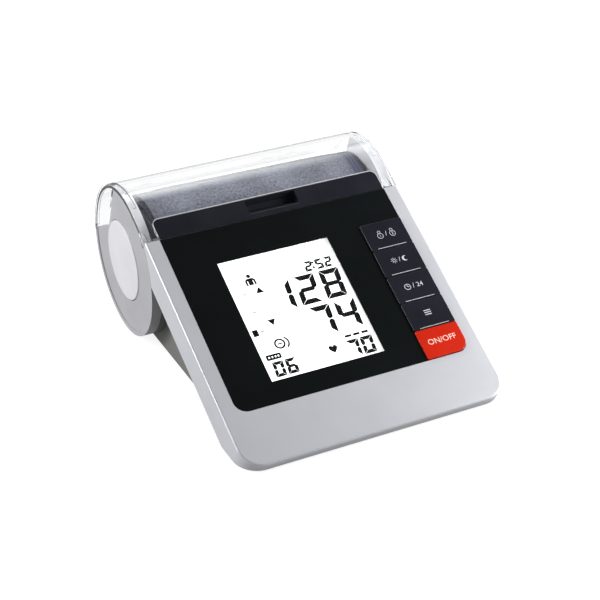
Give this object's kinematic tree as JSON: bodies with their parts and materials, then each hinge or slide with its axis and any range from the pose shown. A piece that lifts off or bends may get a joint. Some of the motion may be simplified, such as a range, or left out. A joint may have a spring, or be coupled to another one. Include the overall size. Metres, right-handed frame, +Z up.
{
  "type": "digital blood pressure monitor",
  "caption": "Desk-top digital blood pressure monitor: sloping case with display and keys, and a tube with a clear hinged lid for the rolled cuff.",
  "frame": {"origin": "middle of the outer box, on the table under the feet", "axes": "+Z up, +X to the right of the person using it, -Y towards them; the display slopes down towards -Y"},
  "size_m": [0.16, 0.2192, 0.0922],
  "materials": {
    "silver_case": "fine metallic silver paint, satin",
    "dark_case": "dark grey moulded ABS, fine texture",
    "black_panel": "black printed acrylic, high gloss",
    "clear_window": "clear acrylic window",
    "lcd": "segment display glass on a white reflector",
    "backlight": "white diffuser",
    "elastomer": "layered contact rubber",
    "silicone": "moulded silicone",
    "circuit_board": "glass fibre board with green solder mask",
    "chip": "black moulded epoxy",
    "red_key": "orange red satin plastic",
    "dark_key": "blue black satin plastic",
    "grey_plastic": "mid grey moulded plastic",
    "pale_badge": "light grey satin plastic",
    "clear_lid": "clear moulded polycarbonate",
    "black_strip": "blue black semi gloss plastic",
    "steel": "bright steel",
    "motor_can": "plated drawn can",
    "pump_plastic": "natural acetal",
    "brass": "plated spring brass",
    "battery_sleeve": "printed foil sleeve, plain",
    "rubber_foot": "black rubber",
    "cuff_fabric": "grey woven nylon"
  },
  "bodies": {
    "housing": {"top_case": "silver_case", "base_case": "dark_case", "display_panel": "black_panel", "display_window": "clear_window", "cuff_trough": "grey_plastic", "end_cap_left": "grey_plastic", "end_cap_right": "grey_plastic", "end_badge_left": "pale_badge", "end_badge_right": "pale_badge", "cuff_roll": "cuff_fabric", "foot_1": "rubber_foot", "foot_2": "rubber_foot", "foot_3": "rubber_foot", "foot_4": "rubber_foot", "air_socket": "pump_plastic", "power_jack": "chip", "lcd_glass": "lcd", "lcd_backlight": "backlight", "lcd_connector": "elastomer", "key_mat": "silicone", "main_board": "circuit_board", "processor_chip": "chip", "beeper": "chip", "pressure_sensor": "chip", "battery_1": "battery_sleeve", "battery_2": "battery_sleeve", "battery_3": "battery_sleeve", "battery_4": "battery_sleeve", "battery_bridge": "brass", "battery_contact_plus": "brass", "battery_contact_minus": "brass", "pump_motor": "motor_can", "pump_head": "pump_plastic", "exhaust_valve": "motor_can", "air_manifold": "pump_plastic", "pump_hose": "silicone", "sensor_hose": "silicone", "valve_hose": "silicone", "socket_hose": "silicone", "hinge_pin_left": "steel", "hinge_pin_right": "steel", "case_screw_1": "steel", "case_screw_2": "steel", "case_screw_3": "steel", "case_screw_4": "steel", "case_screw_5": "steel", "case_screw_6": "steel"},
    "lid": {"clear_lid": "clear_lid", "latch_strip": "black_strip"},
    "function_button_1": {"function_key_1": "dark_key"},
    "function_button_2": {"function_key_2": "dark_key"},
    "function_button_3": {"function_key_3": "dark_key"},
    "function_button_4": {"function_key_4": "dark_key"},
    "power_button": {"power_key": "red_key"},
    "door": {"battery_door": "dark_case"},
    "pump_rotor": {"motor_shaft": "steel"},
    "plunger": {"valve_plunger": "brass"}
  },
  "joints": [
    {"name": "lid_hinge", "type": "hinge", "parent": "housing", "child": "lid", "pos_m": [0, 0.1066, 0.0475], "axis": [-1, 0, 0], "range_deg": [0, 100]},
    {"name": "function_key_1_press", "type": "slide", "parent": "housing", "child": "function_button_1", "axis": [0, 0.4786, -0.878], "range_m": [0, 0.0007], "stiffness_N_per_m": 600, "springref_m": -0.001},
    {"name": "function_key_2_press", "type": "slide", "parent": "housing", "child": "function_button_2", "axis": [0, 0.4786, -0.878], "range_m": [0, 0.0007], "stiffness_N_per_m": 600, "springref_m": -0.001},
    {"name": "function_key_3_press", "type": "slide", "parent": "housing", "child": "function_button_3", "axis": [0, 0.4786, -0.878], "range_m": [0, 0.0007], "stiffness_N_per_m": 600, "springref_m": -0.001},
    {"name": "function_key_4_press", "type": "slide", "parent": "housing", "child": "function_button_4", "axis": [0, 0.4786, -0.878], "range_m": [0, 0.0007], "stiffness_N_per_m": 600, "springref_m": -0.001},
    {"name": "power_key_press", "type": "slide", "parent": "housing", "child": "power_button", "axis": [0, 0.4786, -0.878], "range_m": [0, 0.0007], "stiffness_N_per_m": 600, "springref_m": -0.001},
    {"name": "battery_door_slide", "type": "slide", "parent": "housing", "child": "door", "axis": [0, -1, 0], "range_m": [0, 0.01]},
    {"name": "pump_spin", "type": "hinge", "parent": "housing", "child": "pump_rotor", "pos_m": [0, 0.00733, 0.0163], "axis": [1, 0, 0], "continuous": true},
    {"name": "valve_stroke", "type": "slide", "parent": "housing", "child": "plunger", "axis": [1, 0, 0], "range_m": [0, 0.001], "stiffness_N_per_m": 300, "springref_m": -0.0005}
  ]
}
